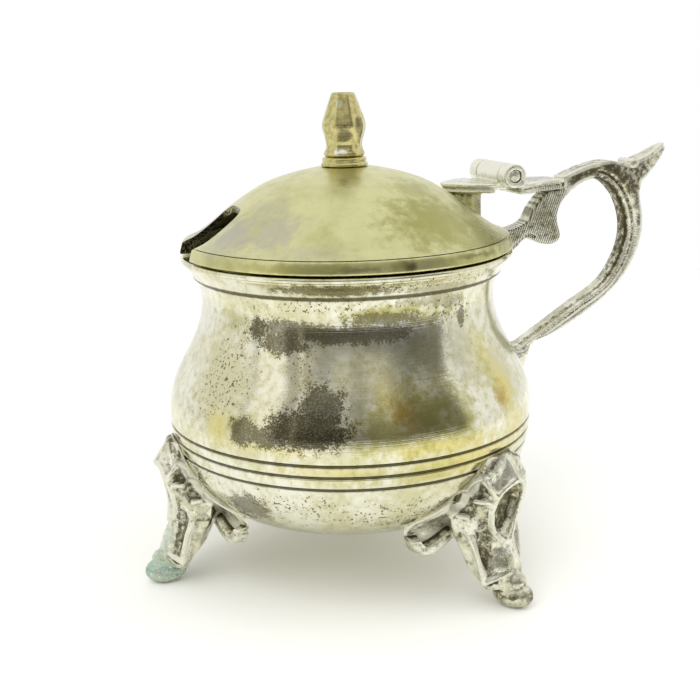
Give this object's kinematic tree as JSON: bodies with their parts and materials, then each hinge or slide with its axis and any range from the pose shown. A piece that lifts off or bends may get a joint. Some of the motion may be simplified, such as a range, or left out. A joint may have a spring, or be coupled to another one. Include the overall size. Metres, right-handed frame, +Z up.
{
  "type": "lidded condiment pot",
  "caption": "Footed silver-plated condiment pot: bellied bowl, hinged domed lid with spoon notch and bud finial, scroll handle, cast leaf feet.",
  "frame": {"origin": "the middle of the pot's bounding box, on the surface that the feet stand on", "axes": "+Z up along the bowl's turned axis, +X towards the handle, -X towards the spoon notch, +Y along the hinge pin"},
  "size_m": [0.0968, 0.0634, 0.0795],
  "materials": {
    "silver_plate": "polished silver plate over base metal, tarnished",
    "gilt_lid": "satin, worn gilt plate",
    "gilt_finial": "satin",
    "cast_silver": "satin, silver plate on castings with dark recesses",
    "pin_metal": "satin"
  },
  "bodies": {
    "pot": {"bowl": "silver_plate", "mouth_moulding": "silver_plate", "hinge_leaf_handle": "cast_silver", "hinge_pin": "pin_metal", "handle": "cast_silver", "foot_front": "cast_silver", "foot_left": "cast_silver", "foot_right": "cast_silver"},
    "lid": {"lid_dome": "gilt_lid", "lid_band": "gilt_lid", "finial_collar": "gilt_finial", "finial_bud": "gilt_finial", "finial_nut": "gilt_finial", "hinge_leaf_lid": "cast_silver"}
  },
  "joints": [
    {"name": "lid_hinge", "type": "hinge", "parent": "pot", "child": "lid", "pos_m": [0.0156, 0, 0.06525], "axis": [0, 1, 0], "range_deg": [0, 145]}
  ]
}
